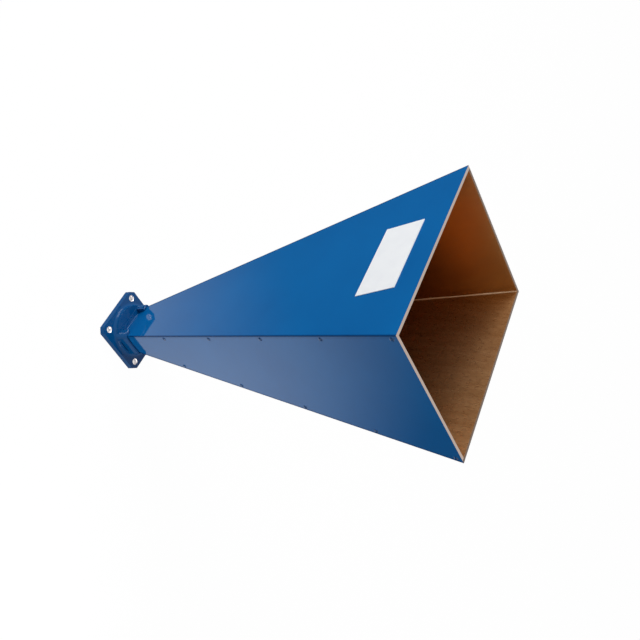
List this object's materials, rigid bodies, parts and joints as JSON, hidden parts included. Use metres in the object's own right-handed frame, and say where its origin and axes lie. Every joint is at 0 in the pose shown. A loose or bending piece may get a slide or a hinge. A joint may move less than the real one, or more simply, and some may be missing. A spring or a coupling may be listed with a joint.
{
  "type": "horn antenna",
  "caption": "Pyramidal horn antenna: flat sheet walls soldered into a square bolt flange flare from a rectangular waveguide opening to a wide open mouth.",
  "frame": {"origin": "centre of the flange's mating face, on the axis of the waveguide opening", "axes": "+Z along the boresight from the flange to the mouth, X along the waveguide's broad side, Y along its narrow side, the labelled wall on +Y"},
  "size_m": [0.133, 0.098, 0.259],
  "materials": {
    "flange_paint": "gloss blue enamel on brass, mating face bare",
    "wall_paint": "gloss blue enamel outside, bare brushed copper inside and at the rim",
    "pin_paint": "gloss blue enamel",
    "label_white": "satin white film, bare of any print"
  },
  "bodies": {
    "root": {"throat_flange": "flange_paint", "broad_wall_front": "wall_paint", "broad_wall_back": "wall_paint", "narrow_wall_left": "wall_paint", "narrow_wall_right": "wall_paint", "seam_pins": "pin_paint", "label": "label_white"}
  },
  "joints": []
}
